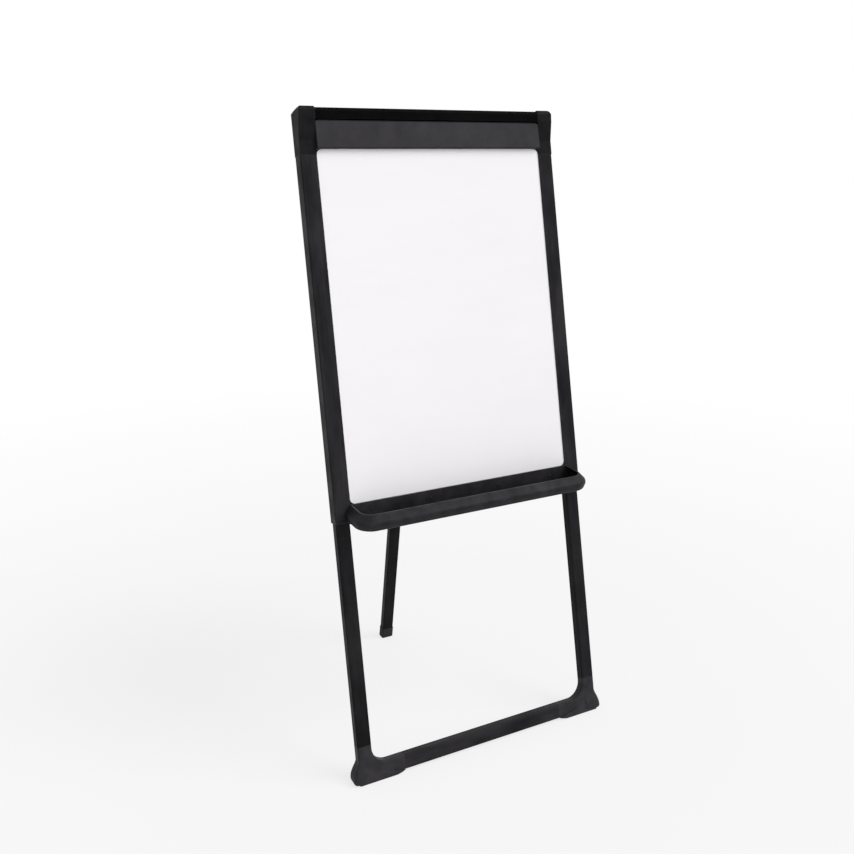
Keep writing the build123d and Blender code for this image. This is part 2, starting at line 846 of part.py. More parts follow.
# Corner cap: a moulded box over the rail's upper end. It stands a little proud of the header
# beam, holds the pad clamp's pin and rounds the upper corner of the window.
clamp_pin_tip = window_half_width + clamp_pin_reach
cap_top = header_top + cap_rise
cap_middle = (rail_top + cap_top) / 2
web_radius = window_corner_radius - clamp_end_gap
with BuildPart() as corner_cap:
    with BuildSketch(along(window_half_width)) as cap_section:
        with BuildLine():
            Polyline(
                (0, rail_top),
                (0, window_top + cap_bulge_rise),
                (2 - nose_depth, band_bottom),
                (-nose_depth, cap_top - 12),
                (-nose_back, cap_top),
                (rail_depth, header_back_top + cap_rise),
                (rail_depth, rail_top),
                close=True,
            )
        make_face()
        fillet(cap_section.vertices().sort_by(Axis.Y)[-1], 4)
        fillet(cap_section.vertices().sort_by_distance((0, window_top + cap_bulge_rise, 0))[0], 20)
    extrude(amount=rail_width)
    with BuildSketch(facing(rail_depth)):
        with Locations((rail_centre - rail_width, cap_middle)):
            RectangleRounded(3 * rail_width, cap_top - rail_top, cap_corner_radius)
        with Locations((rail_centre, cap_middle - cap_corner_radius)):
            Rectangle(rail_width, cap_top - rail_top - 2 * cap_corner_radius)
        with Locations((rail_centre, rail_top + cap_corner_radius)):
            Rectangle(rail_width, 2 * cap_corner_radius)
    extrude(amount=rail_depth + nose_depth + 1, mode=Mode.INTERSECT)
    with BuildSketch(facing(groove_front)):
        with Locations((window_half_width - (web_radius - 1) / 2, rail_top + web_radius / 2)):
            Rectangle(web_radius + 1, web_radius)
        with Locations((window_half_width - web_radius, rail_top)):
            Circle(web_radius, mode=Mode.SUBTRACT)
    extrude(amount=groove_front - bevel_drop)
    with BuildSketch(along(window_half_width, tongue_middle, tongue_height)):
        RectangleRounded(pocket_back - pocket_front, pocket_top - pocket_floor, 2)
    extrude(amount=rail_width - header_wall, mode=Mode.SUBTRACT)
    add(
        hollow_bar(
            across(rail_top - cap_spigot_length, rail_centre, channel_middle),
            channel_width - 2 * spigot_clearance,
            channel_depth - 2 * spigot_clearance,
            tube_corner_radius,
            rail_wall,
            cap_spigot_length,
        ).part
    )
    with BuildSketch(along(window_half_width, clamp_axis_depth, clamp_axis_height)):
        Circle(clamp_pin_radius)
    extrude(amount=clamp_pin_reach, mode=Mode.SUBTRACT)
    with BuildSketch(facing(groove_front)):
        with Locations((window_half_width, (rail_top + board_top) / 2)):
            Rectangle(
                2 * (board_tuck + board_clearance),
                board_top - rail_top + 2 * board_clearance,
            )
    extrude(amount=groove_front - groove_back, mode=Mode.SUBTRACT)
    add([screw_shank(seat, cap_screw_length) for seat in cap_screw_seats], mode=Mode.SUBTRACT)
save_pair(corner_cap, "corner_cap")
save_group([pan_screw(seat, cap_screw_length) for seat in cap_screw_seats], "cap_screws")

# Pad clamp: a ribbed bar that hangs in front of the header and turns on a pin at each end
clamp_half_length = window_half_width - clamp_end_gap
lip_back = board_recess - grip_gap - grip_thickness
rib_back = groove_front - board_lip - clamp_rib_gap
barrel_start = clamp_half_length - clamp_barrel_length
with BuildPart() as clamp_bar:
    with BuildSketch(along(-clamp_half_length)) as clamp_section:
        with BuildLine():
            Polyline(
                (rib_back, clamp_top),
                (2 - clamp_front_top, clamp_top),
                (-clamp_front_top, clamp_top - 4),
                (-clamp_front_bottom, window_top),
                (lip_back, window_top),
                (lip_back, window_top + grip_height + 1),
                (rib_back, window_top + grip_height + 8),
                close=True,
            )
        make_face()
        fillet(clamp_section.vertices().group_by(Axis.X)[0], 4)
    extrude(amount=2 * clamp_half_length)
    with BuildSketch(facing(lip_back + 1)):
        with Locations((0, window_top)):
            RectangleRounded(2 * clamp_half_length, 2 * (clamp_top - window_top), clamp_corner_radius)
    extrude(amount=clamp_front_bottom + lip_back + 2, mode=Mode.INTERSECT)
    hollow_back = lip_back + 1
    with BuildSketch(along(-clamp_half_length)):
        with BuildLine():
            Polyline(
                (hollow_back, clamp_top - clamp_wall),
                (3 + clamp_wall - clamp_front_top, clamp_top - clamp_wall),
                (clamp_wall - clamp_front_top, clamp_top - clamp_wall - 3),
                (clamp_wall - clamp_front_bottom, window_top + clamp_wall),
                (lip_back - clamp_wall, window_top + clamp_wall),
                (lip_back - clamp_wall, window_top + grip_height + 1),
                (hollow_back, window_top + grip_height + 1),
                close=True,
            )
        make_face()
    clamp_hollow = extrude(amount=2 * clamp_half_length, mode=Mode.PRIVATE)
    clamp_bay = 2 * barrel_start / clamp_bay_count
    rib_xs = [clamp_bay * step - barrel_start for step in range(1, clamp_bay_count)]
    end_xs = [side * (clamp_half_length - clamp_wall / 2) for side in (-1, 1)]
    with BuildSketch(facing(lip_back + 1)):
        with Locations((0, (clamp_top + window_top) / 2)):
            Rectangle(2 * clamp_half_length, clamp_top - window_top)
        with Locations([(x, (clamp_top + window_top) / 2) for x in rib_xs]):
            Rectangle(rib_thickness, clamp_top - window_top, mode=Mode.SUBTRACT)
        with Locations([(x, (clamp_top + window_top) / 2) for x in end_xs]):
            Rectangle(clamp_wall, clamp_top - window_top, mode=Mode.SUBTRACT)
    clamp_bays = extrude(amount=clamp_front_bottom + lip_back + 2, mode=Mode.PRIVATE)
    add(clamp_hollow & clamp_bays, mode=Mode.SUBTRACT)
    for start in (-clamp_half_length, barrel_start):
        with BuildSketch(along(start, clamp_axis_depth, clamp_axis_height)):
            Circle(clamp_barrel_radius)
        extrude(amount=clamp_barrel_length)
    with BuildSketch(along(-clamp_half_length, clamp_axis_depth, clamp_axis_height)):
        Circle(clamp_pin_radius + pin_running_clearance)
    extrude(amount=2 * clamp_half_length, mode=Mode.SUBTRACT)
save(clamp_bar, "clamp_bar")

# Rubber strip along the clamp's lower lip
with BuildPart() as clamp_grip:
    with BuildSketch(along(-barrel_start)):
        with Locations((lip_back + grip_thickness / 2, window_top + grip_height / 2 + 0.5)):
            RectangleRounded(grip_thickness, grip_height, 0.9)
    extrude(amount=2 * barrel_start)
save(clamp_grip, "clamp_grip")

# Pins in the corner caps, and the springs on them that press the clamp to the board
pin_start = barrel_start - 2 - (spring_turns + 1) * spring_pitch - 2
clamp_pins = []
for start in (-clamp_pin_tip, pin_start):
    with BuildPart() as clamp_pin:
        with BuildSketch(along(start, clamp_axis_depth, clamp_axis_height)):
            Circle(clamp_pin_radius)
        extrude(amount=clamp_pin_tip - pin_start)
    clamp_pins.append(clamp_pin.part)
save_group(clamp_pins, "clamp_pins")

with BuildPart() as clamp_spring:
    with BuildLine() as spring_wire:
        coil = Helix(spring_pitch, spring_turns * spring_pitch, spring_coil_radius)
        Line(coil @ 0 - coil % 0 * spring_leg, coil @ 0)
        Line(coil @ 1, coil @ 1 + coil % 1 * spring_leg)
    with BuildSketch(Plane(spring_wire.line @ 0, z_dir=spring_wire.line % 0)):
        Circle(spring_wire_radius)
    sweep()
with BuildPart() as clamp_springs:
    add(along(pin_start + 2, clamp_axis_depth, clamp_axis_height) * clamp_spring.part)
    mirror(about=Plane.YZ)
save(clamp_springs, "clamp_springs")

# Hinge bracket on the header's back: a plate with two cheeks for the rear leg's head
upper_tube_width = lower_tube_width + 2 * (slide_gap + rail_wall)
upper_tube_depth = lower_tube_depth + 2 * (slide_gap + rail_wall)
upper_channel_width = lower_tube_width + 2 * slide_gap
upper_channel_depth = lower_tube_depth + 2 * slide_gap
cheek_inner = upper_tube_width / 2 + cheek_gap
plate_back = rail_depth + bracket_plate
cheek_radius = head_radius - 3
with BuildPart() as hinge_bracket:
    with BuildSketch(facing(plate_back)):
        with Locations((0, (bracket_bottom + bracket_top) / 2)):
            RectangleRounded(2 * bracket_half_width, bracket_top - bracket_bottom, 5)
    extrude(amount=bracket_plate)
    for start in (-cheek_inner - bracket_plate, cheek_inner):
        with BuildSketch(along(start)):
            with Locations(((rail_depth + plate_back) / 2, pivot_height)):
                Rectangle(bracket_plate, 2 * head_length)
            with Locations((pivot_depth, pivot_height)):
                Circle(cheek_radius)
            make_hull()
        extrude(amount=bracket_plate)
    with BuildSketch(along(-cheek_inner - bracket_plate, pivot_depth, pivot_height)):
        Circle(hinge_pin_radius)
    extrude(amount=2 * (cheek_inner + bracket_plate), mode=Mode.SUBTRACT)
    add([screw_shank(seat, screw_length) for seat in bracket_screw_seats], mode=Mode.SUBTRACT)
save(hinge_bracket, "hinge_bracket")
save_group([pan_screw(seat, screw_length) for seat in bracket_screw_seats], "bracket_screws")

# Riveted pin through the cheeks and the rear leg's head
pin_end = cheek_inner + bracket_plate
with BuildPart() as hinge_pin:
    with BuildSketch(along(-pin_end, pivot_depth, pivot_height)):
        Circle(hinge_pin_radius)
    extrude(amount=2 * pin_end)
    for start in (-pin_end - pin_head_height, pin_end):
        with BuildSketch(along(start, pivot_depth, pivot_height)):
            Circle(pin_head_radius)
        extrude(amount=pin_head_height)
    for end in (hinge_pin.faces().sort_by(Axis.X)[0], hinge_pin.faces().sort_by(Axis.X)[-1]):
        chamfer(end.edges(), pin_head_height / 2)
save(hinge_pin, "hinge_pin")

# Rear leg, upper tube with its lock nut
head_shoulder = head_radius + 7
rear_lock_down = rear_joint - lock_rise
rear_lock_seat = rear_facing(upper_tube_depth / 2, 0, rear_lock_down)
head_screw_length = rail_wall + spigot_clearance + rail_wall
head_screw_seats = [
    rear_facing(upper_tube_depth / 2, x, head_shoulder + spigot_length / 2)
    for x in (-upper_tube_width / 4, upper_tube_width / 4)
]
with BuildPart() as rear_upper_tube:
    add(
        hollow_bar(
            rear_across(rear_joint),
            upper_tube_width,
            upper_tube_depth,
            tube_corner_radius,
            rail_wall,
            rear_joint - head_shoulder,
        ).part
    )
    with BuildSketch(rear_lock_seat):
        Circle(nut_barrel_radius)
    extrude(amount=-2 * rail_wall, mode=Mode.SUBTRACT)
    add([screw_shank(seat, head_screw_length) for seat in head_screw_seats], mode=Mode.SUBTRACT)
save(rear_upper_tube, "rear_upper_tube")
save(threaded_insert(rear_lock_seat), "rear_lock_nut")
rear_knob_base = rear_lock_seat.offset(knob_lift)
save(lobed_knob(rear_knob_base), "rear_lock_knob")
rear_stud_reach = (upper_tube_depth - lower_tube_depth) / 2 + knob_lift - lock_gap
save(lock_screw(rear_knob_base, rear_stud_reach), "rear_lock_stud")

# Head of the rear leg: it turns on the hinge pin, and its stop meets the bracket's plate
# when the leg is fully open.
stop_reach = pivot_depth - plate_back - stop_gap
with BuildPart() as rear_leg_head:
    with BuildSketch(rear_along(-upper_tube_width / 2)):
        Circle(head_radius)
        with Locations((0, -head_shoulder / 2 - 3)):
            Rectangle(upper_tube_depth, head_shoulder - 6)
    extrude(amount=upper_tube_width)
    with BuildSketch(along(-upper_tube_width / 2, pivot_depth, pivot_height)) as stop_section:
        with BuildLine():
            Polyline(
                (0, 2),
                (-stop_reach, 2),
                (-stop_reach, head_radius - 1),
                (-3, head_radius - 1),
                close=True,
            )
        make_face()
        fillet(stop_section.vertices().group_by(Axis.X)[0], 1.5)
    extrude(amount=upper_tube_width)
    chamfer(rear_leg_head.faces().sort_by(Axis.X)[0].edges(), 0.6)
    chamfer(rear_leg_head.faces().sort_by(Axis.X)[-1].edges(), 0.6)
    with BuildSketch(along(-upper_tube_width / 2, pivot_depth, pivot_height)):
        Circle(hinge_pin_radius + pin_running_clearance)
    extrude(amount=upper_tube_width, mode=Mode.SUBTRACT)
    add(
        hollow_bar(
            rear_across(head_shoulder + spigot_length),
            upper_channel_width - 2 * spigot_clearance,
            upper_channel_depth - 2 * spigot_clearance,
            tube_corner_radius,
            rail_wall,
            spigot_length,
        ).part
    )
    add([screw_shank(seat, head_screw_length) for seat in head_screw_seats], mode=Mode.SUBTRACT)
save(rear_leg_head, "rear_leg_head")
save_group([pan_screw(seat, head_screw_length) for seat in head_screw_seats], "head_screws")

# Collar at the upper tube's lower end, which guides the lower tube
collar_seat = rear_collar_length / 2
with BuildPart() as rear_collar:
    with BuildSketch(rear_across(rear_joint + collar_seat)):
        RectangleRounded(
            upper_tube_width + 2 * rear_collar_wall,
            upper_tube_depth + 2 * rear_collar_wall,
            tube_corner_radius + rear_collar_wall,
        )
        RectangleRounded(
            lower_tube_width + 2 * collar_gap,
            lower_tube_depth + 2 * collar_gap,
            tube_corner_radius,
            mode=Mode.SUBTRACT,
        )
    extrude(amount=rear_collar_length)
    rim_edges = rear_collar.faces().filter_by(rear_leg_axis).sort_by(rear_leg_axis)
    chamfer(rim_edges[0].outer_wire().edges() + rim_edges[-1].outer_wire().edges(), 1.2)
    with BuildSketch(rear_across(rear_joint)):
        RectangleRounded(upper_tube_width, upper_tube_depth, tube_corner_radius)
    extrude(amount=collar_seat, mode=Mode.SUBTRACT)
save(rear_collar, "rear_collar")

# Rear leg, lower tube with its guide and its rubber foot
rear_foot_top = rear_leg_length - rear_foot_height
rear_guide_down = rear_joint - rear_overlap
rear_lower_tube = hollow_bar(
    rear_across(rear_foot_top),
    lower_tube_width,
    lower_tube_depth,
    tube_corner_radius,
    rail_wall,
    rear_foot_top - rear_guide_down,
)
save(rear_lower_tube, "rear_lower_tube")
rear_plug_width = lower_tube_width - 2 * (rail_wall + spigot_clearance)
rear_plug_depth = lower_tube_depth - 2 * (rail_wall + spigot_clearance)
rear_leg_guide = guide_block(
    rear_across(rear_guide_down),
    rear_plug_width,
    rear_plug_depth,
    upper_channel_width - 2 * collar_gap,
    upper_channel_depth - 2 * collar_gap,
)
save(rear_leg_guide, "rear_leg_guide")

# Rubber foot: a cup over the tube's lower end, cut level with the floor, with a plug inside
with BuildPart() as rear_foot:
    with BuildSketch(rear_across(rear_foot_top - rear_foot_cup)):
        RectangleRounded(
            lower_tube_width + 2 * rear_foot_wall,
            lower_tube_depth + 2 * rear_foot_wall,
            tube_corner_radius + rear_foot_wall,
        )
    extrude(amount=-rear_foot_cup - 2 * rear_foot_height)
    split(bisect_by=Plane.XY, keep=Keep.TOP)
    chamfer(rear_foot.faces().sort_by(rear_leg_axis)[-1].edges(), 0.8)
    fillet(rear_foot.faces().sort_by(Axis.Z)[0].edges(), sole_radius)
    with BuildSketch(rear_across(rear_foot_top)):
        RectangleRounded(lower_tube_width, lower_tube_depth, tube_corner_radius)
    extrude(amount=rear_foot_cup, mode=Mode.SUBTRACT)
    with BuildSketch(rear_across(rear_foot_top)):
        RectangleRounded(rear_plug_width, rear_plug_depth, tube_corner_radius / 2)
    extrude(amount=spigot_length)
save(rear_foot, "rear_foot")
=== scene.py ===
from math import atan2, cos, degrees, radians, sin

import bmesh
import bpy
from mathutils import Euler, Matrix, Vector


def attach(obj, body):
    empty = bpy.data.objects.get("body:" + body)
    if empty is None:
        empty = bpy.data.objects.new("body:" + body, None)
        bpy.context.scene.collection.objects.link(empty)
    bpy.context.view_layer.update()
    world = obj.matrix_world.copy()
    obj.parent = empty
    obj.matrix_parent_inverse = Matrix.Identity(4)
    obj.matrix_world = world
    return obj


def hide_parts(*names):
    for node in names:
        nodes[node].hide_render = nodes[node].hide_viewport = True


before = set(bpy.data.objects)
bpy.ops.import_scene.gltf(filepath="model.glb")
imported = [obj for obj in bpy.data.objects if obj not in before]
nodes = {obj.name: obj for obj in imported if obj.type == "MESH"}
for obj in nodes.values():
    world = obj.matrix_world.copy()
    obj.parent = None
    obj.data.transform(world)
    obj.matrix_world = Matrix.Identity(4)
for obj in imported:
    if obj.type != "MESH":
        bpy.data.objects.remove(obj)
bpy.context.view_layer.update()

# The easel's frame leans back, and its rear leg slopes the other way
LEAN = radians(11.85)
REAR_SLOPE = radians(9.39)

scene = bpy.context.scene


# Node helpers
def join(tree, source, target):
    tree.links.new(source, target)


def feed(tree, socket, value):
    """Joins another socket to this one, or sets it to a plain value."""
    if isinstance(value, bpy.types.NodeSocket):
        join(tree, value, socket)
    else:
        socket.default_value = value


def add_node(tree, kind, **values):
    """A new node with some of its properties set and some of its inputs fed."""
    made = tree.nodes.new(kind)
    for name, value in values.items():
        label = name.replace("_", " ").title()
        if label in made.inputs:
            feed(tree, made.inputs[label], value)
        else:
            setattr(made, name, value)
    return made


def new_group(name, inputs, outputs):
    """An empty shader node group with its sockets; returns the tree and its two end nodes."""
    tree = bpy.data.node_groups.new(name, "ShaderNodeTree")
    for label, kind, value in inputs:
        socket = tree.interface.new_socket(label, in_out="INPUT", socket_type=kind)
        if value is not None:
            socket.default_value = value
    for label in outputs:
        tree.interface.new_socket(label, in_out="OUTPUT", socket_type="NodeSocketFloat")
    return tree, tree.nodes.new("NodeGroupInput"), tree.nodes.new("NodeGroupOutput")


def use_group(tree, group, **values):
    """A group placed in a tree with its inputs fed."""
    made = add_node(tree, "ShaderNodeGroup", node_tree=group)
    for label, value in values.items():
        feed(tree, made.inputs[label.replace("_", " ")], value)
    return made


def maths(tree, operation, *operands, kind="ShaderNodeMath", result="Value"):
    """What a node makes of its operands, which are sockets or numbers."""
    made = add_node(tree, kind, operation=operation)
    for socket, value in zip(made.inputs, operands):
        feed(tree, socket, value)
    return made.outputs[result]


def vector_maths(tree, operation, *operands, result="Value"):
    return maths(tree, operation, *operands, kind="ShaderNodeVectorMath", result=result)


def plus(tree, first, second):
    return maths(tree, "ADD", first, second)


def times(tree, first, second):
    return maths(tree, "MULTIPLY", first, second)


def scaled(tree, vector, scale):
    """A vector scaled along each axis."""
    return vector_maths(tree, "MULTIPLY", vector, scale, result="Vector")


def remap(tree, source, low, high, new_low=0.0, new_high=1.0):
    """A clamped Map Range from one span of values to another."""
    made = add_node(
        tree, "ShaderNodeMapRange", value=source,
        from_min=low, from_max=high, to_min=new_low, to_max=new_high,
    )
    return made.outputs["Result"]


def noise(tree, vector, scale, detail=2.0, roughness=0.5):
    made = add_node(
        tree, "ShaderNodeTexNoise", vector=vector, scale=scale, detail=detail, roughness=roughness
    )
    return made.outputs["Fac"]


def surface_normal(tree):
    return tree.nodes.new("ShaderNodeNewGeometry").outputs["Normal"]


# Surface effects that several finishes share
def moulded_texture_group():
    """Fine pebbled texture of an injection moulding, with soft sink marks."""
    tree, source, result = new_group(
        "moulded_texture",
        inputs=[("Vector", "NodeSocketVector", None), ("Grain Scale", "NodeSocketFloat", 900.0)],
        outputs=["Height", "Mottle"],
    )
    vector = source.outputs["Vector"]
    pebbles = add_node(
        tree, "ShaderNodeTexVoronoi",
        feature="SMOOTH_F1", vector=vector, scale=source.outputs["Grain Scale"],
    )
    sinks = noise(tree, vector, scale=14.0, detail=1.0)
    height = plus(tree, times(tree, pebbles.outputs["Distance"], 0.35), sinks)
    join(tree, height, result.inputs["Height"])
    mottle = noise(tree, vector, scale=22.0, detail=4.0, roughness=0.6)
    join(tree, remap(tree, mottle, 0.32, 0.68), result.inputs["Mottle"])
    return tree


def drawn_lines_group():
    """Faint lines along an extrusion's length, with uneven coating."""
    tree, source, result = new_group(
        "drawn_lines",
        inputs=[
            ("Vector", "NodeSocketVector", None),
            ("Stretch", "NodeSocketVector", (1.0, 1.0, 0.02)),
        ],
        outputs=["Height", "Streak", "Cloud"],
    )
    vector = source.outputs["Vector"]
    along = scaled(tree, vector, source.outputs["Stretch"])
    fine = noise(tree, along, scale=900.0, detail=3.0)
    speckle = noise(tree, vector, scale=1400.0, detail=1.0)
    join(tree, plus(tree, fine, times(tree, speckle, 0.6)), result.inputs["Height"])
    broad = noise(tree, along, scale=120.0, detail=3.0, roughness=0.6)
    join(tree, remap(tree, broad, 0.3, 0.7), result.inputs["Streak"])
    drawn_out = scaled(tree, vector, (1.0, 1.0, 0.35))
    cloud = noise(tree, drawn_out, scale=17.0, detail=3.0, roughness=0.55)
    join(tree, remap(tree, cloud, 0.36, 0.66), result.inputs["Cloud"])
    return tree


def handling_group():
    """Dust that settles in patches, and the smudges that hands leave."""
    tree, source, result = new_group(
        "handling", inputs=[("Vector", "NodeSocketVector", None)], outputs=["Dust", "Smudge"]
    )
    vector = source.outputs["Vector"]
    patches = noise(tree, vector, scale=5.0, detail=5.0, roughness=0.6)
    specks = noise(tree, vector, scale=1500.0, detail=1.0)
    dust = times(tree, remap(tree, patches, 0.45, 0.75), remap(tree, specks, 0.48, 0.66))
    join(tree, dust, result.inputs["Dust"])
    smudge = noise(tree, vector, scale=16.0, detail=5.0, roughness=0.55)
    join(tree, remap(tree, smudge, 0.42, 0.62), result.inputs["Smudge"])
    return tree


def edge_wear_and_highlight_group():
    """1 along the sharp edges, where the colour is painted paler as a painted highlight and as
    wear, broken up as handling wears them, and 0 on the faces.
    """
    tree, source, result = new_group(
        "edge_wear_and_highlight",
        inputs=[("Vector", "NodeSocketVector", None), ("Width", "NodeSocketFloat", 0.0025)],
        outputs=["Wear"],
    )
    rounded = add_node(tree, "ShaderNodeBevel", samples=4, radius=source.outputs["Width"])
    flatness = vector_maths(tree, "DOT_PRODUCT", rounded.outputs["Normal"], surface_normal(tree))
    edge = remap(tree, flatness, 0.99, 0.88)
    rubbed = noise(tree, source.outputs["Vector"], scale=70.0, detail=4.0, roughness=0.65)
    broken = remap(tree, rubbed, 0.38, 0.62, new_low=0.25)
    join(tree, times(tree, edge, broken), result.inputs["Wear"])
    return tree


moulded_texture = moulded_texture_group()
drawn_lines = drawn_lines_group()
handling = handling_group()
edge_wear_and_highlight = edge_wear_and_highlight_group()


# Finishes
# Pale dust colour; on the tray's level faces it is also painted light that lifts the shade
DUST_AND_PAINTED_LIGHT_COLOUR = (0.16, 0.155, 0.15)
# Paler colour for sharp edges: partly wear, partly a painted highlight
EDGE_WEAR_AND_HIGHLIGHT_COLOUR = (0.075, 0.074, 0.076)

# Where a Mix node keeps its colour sockets, among those for its other data types
MIX_FACTOR, MIX_FIRST, MIX_SECOND = 0, 6, 7
MIX_RESULT = 2


def new_material(name, **shader_values):
    """A material with a Principled shader; returns the material, its tree and the shader."""
    material = bpy.data.materials.new(name)
    material.use_nodes = True
    tree = material.node_tree
    shader = tree.nodes["Principled BSDF"]
    for label, value in shader_values.items():
        shader.inputs[label.replace("_", " ")].default_value = value
    return material, tree, shader


def object_vector(tree, turn=(0.0, 0.0, 0.0)):
    """Object coordinates, turned so that Z runs along the piece."""
    place = tree.nodes.new("ShaderNodeTexCoord").outputs["Object"]
    return add_node(tree, "ShaderNodeMapping", vector=place, rotation=turn).outputs["Vector"]


def blend_colours(tree, factor, first, second):
    """A colour between two others, which are sockets or plain colours."""
    made = add_node(tree, "ShaderNodeMix", data_type="RGBA")
    join(tree, factor, made.inputs[MIX_FACTOR])
    for place, colour in ((MIX_FIRST, first), (MIX_SECOND, second)):
        feed(tree, made.inputs[place], (*colour, 1.0) if isinstance(colour, tuple) else colour)
    return made.outputs[MIX_RESULT]


def wear_and_highlight_edges(tree, vector, colour, amount):
    """The colour with its sharp edges painted paler: partly a painted highlight, partly wear."""
    worn_and_highlit = use_group(tree, edge_wear_and_highlight, Vector=vector)
    return blend_colours(tree, times(tree, worn_and_highlit.outputs["Wear"], amount), colour, EDGE_WEAR_AND_HIGHLIGHT_COLOUR)


def dress(tree, shader, colour, rough, height, relief, depth):
    """Joins a finish's colour, roughness and relief to its shader."""
    join(tree, colour, shader.inputs["Base Color"])
    join(tree, rough, shader.inputs["Roughness"])
    bump = add_node(tree, "ShaderNodeBump", strength=relief, distance=depth, height=height)
    join(tree, bump.outputs["Normal"], shader.inputs["Normal"])


def coated_extrusion(name, turn, dark, light, dust=0.18):
    """Graphite coating on a drawn aluminium tube."""
    material, tree, shader = new_material(name, Specular_IOR_Level=0.05)
    vector = object_vector(tree, turn)
    lines = use_group(tree, drawn_lines, Vector=vector)
    touched = use_group(tree, handling, Vector=vector)
    tone = plus(
        tree, times(tree, lines.outputs["Cloud"], 0.7), times(tree, lines.outputs["Streak"], 0.3)
    )
    colour = blend_colours(tree, tone, dark, light)
    paling = times(tree, touched.outputs["Dust"], dust)
    colour = blend_colours(tree, paling, colour, DUST_AND_PAINTED_LIGHT_COLOUR)
    # Sharp edges painted paler: partly wear, partly a painted highlight
    colour = wear_and_highlight_edges(tree, vector, colour, 0.5)
    rough = plus(tree, times(tree, touched.outputs["Smudge"], 0.12), 0.38)
    rough = plus(tree, rough, times(tree, lines.outputs["Streak"], 0.06))
    dress(tree, shader, colour, rough, lines.outputs["Height"], relief=0.25, depth=0.0001)
    return material


def moulding(
    name, dark, light, rough,
    grain_scale=900.0, dust=0.15, specular=0.1, relief=0.35, level_dust_and_light=0.0, worn_and_highlit=0.4,
):
    """Textured black moulding; settled is how much paler its level faces are painted, partly fine
    dust and partly painted light in the shaded tray, and worn is how much paler its edges are
    painted, partly wear and partly a painted highlight.
    """
    material, tree, shader = new_material(name, Specular_IOR_Level=specular)
    vector = object_vector(tree)
    texture = use_group(tree, moulded_texture, Vector=vector, Grain_Scale=grain_scale)
    touched = use_group(tree, handling, Vector=vector)
    colour = blend_colours(tree, texture.outputs["Mottle"], dark, light)
    paling = times(tree, touched.outputs["Dust"], dust)
    # Level faces painted paler: partly fine dust, partly painted light that lifts the shade in the
    # tray's trough
    if level_dust_and_light:
        facing = add_node(tree, "ShaderNodeSeparateXYZ", vector=surface_normal(tree))
        level = remap(tree, facing.outputs["Z"], 0.88, 0.98, new_high=level_dust_and_light)
        patchy = remap(tree, texture.outputs["Mottle"], 0.0, 1.0, new_low=0.7)
        paling = plus(tree, paling, times(tree, level, patchy))
    colour = blend_colours(tree, paling, colour, DUST_AND_PAINTED_LIGHT_COLOUR)
    # Sharp edges painted paler: partly wear, partly a painted highlight
    colour = wear_and_highlight_edges(tree, vector, colour, worn_and_highlit)
    rough = plus(tree, times(tree, touched.outputs["Smudge"], -0.1), rough)
    dress(tree, shader, colour, rough, texture.outputs["Height"], relief, depth=0.0002)
    return material


def plated_steel(name, dark, light, rough):
    """Zinc-plated steel with the drifting tone of passivation."""
    material, tree, shader = new_material(name, Metallic=1.0)
    vector = object_vector(tree)
    drift = noise(tree, vector, scale=60.0, detail=4.0, roughness=0.6)
    colour = blend_colours(tree, remap(tree, drift, 0.3, 0.7), dark, light)
    fine = noise(tree, vector, scale=900.0, detail=3.0)
    rough = remap(tree, fine, 0.2, 0.8, rough - 0.08, rough + 0.1)
    dress(tree, shader, colour, rough, fine, relief=0.15, depth=0.00005)
    return material


def dry_wipe_skin(clean, hazy):
    """Glossy white board surface with the faint haze that wiping leaves."""
    material, tree, shader = new_material(
        "dry_wipe_skin", Specular_IOR_Level=0.4, Coat_Weight=0.25, Coat_Roughness=0.12
    )
    vector = object_vector(tree, ALONG_LEAN)
    sideways = add_node(tree, "ShaderNodeMapping", vector=vector, scale=(0.35, 1.0, 1.0))
    wiped = noise(tree, sideways.outputs["Vector"], scale=7.0, detail=5.0, roughness=0.6)
    haze = remap(tree, wiped, 0.4, 0.7)
    colour = blend_colours(tree, haze, clean, hazy)
    rough = plus(tree, times(tree, haze, 0.1), 0.3)
    orange_peel = noise(tree, vector, scale=260.0)
    dress(tree, shader, colour, rough, orange_peel, relief=0.05, depth=0.0001)
    return material


def pressed_hardboard(dark, light, fibre):
    """Brown pressed fibre behind the board, with the mesh marks of its rough side."""
    material, tree, shader = new_material("pressed_hardboard", Specular_IOR_Level=0.25)
    vector = object_vector(tree)
    clouds = noise(tree, vector, scale=30.0, detail=3.0)
    fibres = noise(tree, vector, scale=380.0, detail=6.0, roughness=0.75)
    colour = blend_colours(tree, remap(tree, clouds, 0.3, 0.7), dark, light)
    colour = blend_colours(tree, remap(tree, fibres, 0.45, 0.72), colour, fibre)
    rough = remap(tree, fibres, 0.3, 0.7, 0.75, 0.92)
    mesh_marks = add_node(tree, "ShaderNodeTexVoronoi", vector=vector, scale=450.0)
    height = plus(tree, fibres, times(tree, mesh_marks.outputs["Distance"], 0.5))
    dress(tree, shader, colour, rough, height, relief=0.5, depth=0.0003)
    return material


# The turns that lay the pattern's Z along a piece
ALONG_LEAN = (LEAN, 0.0, 0.0)
ALONG_REAR = (-REAR_SLOPE, 0.0, 0.0)
ALONG_X = (0.0, radians(90.0), 0.0)

# Graphite tones, from the darkest cloud to the lightest
RAIL_TONES = ((0.008, 0.0074, 0.0084), (0.03, 0.0279, 0.0315))
LEG_TONES = ((0.0045, 0.0042, 0.0047), (0.0195, 0.0181, 0.0205))

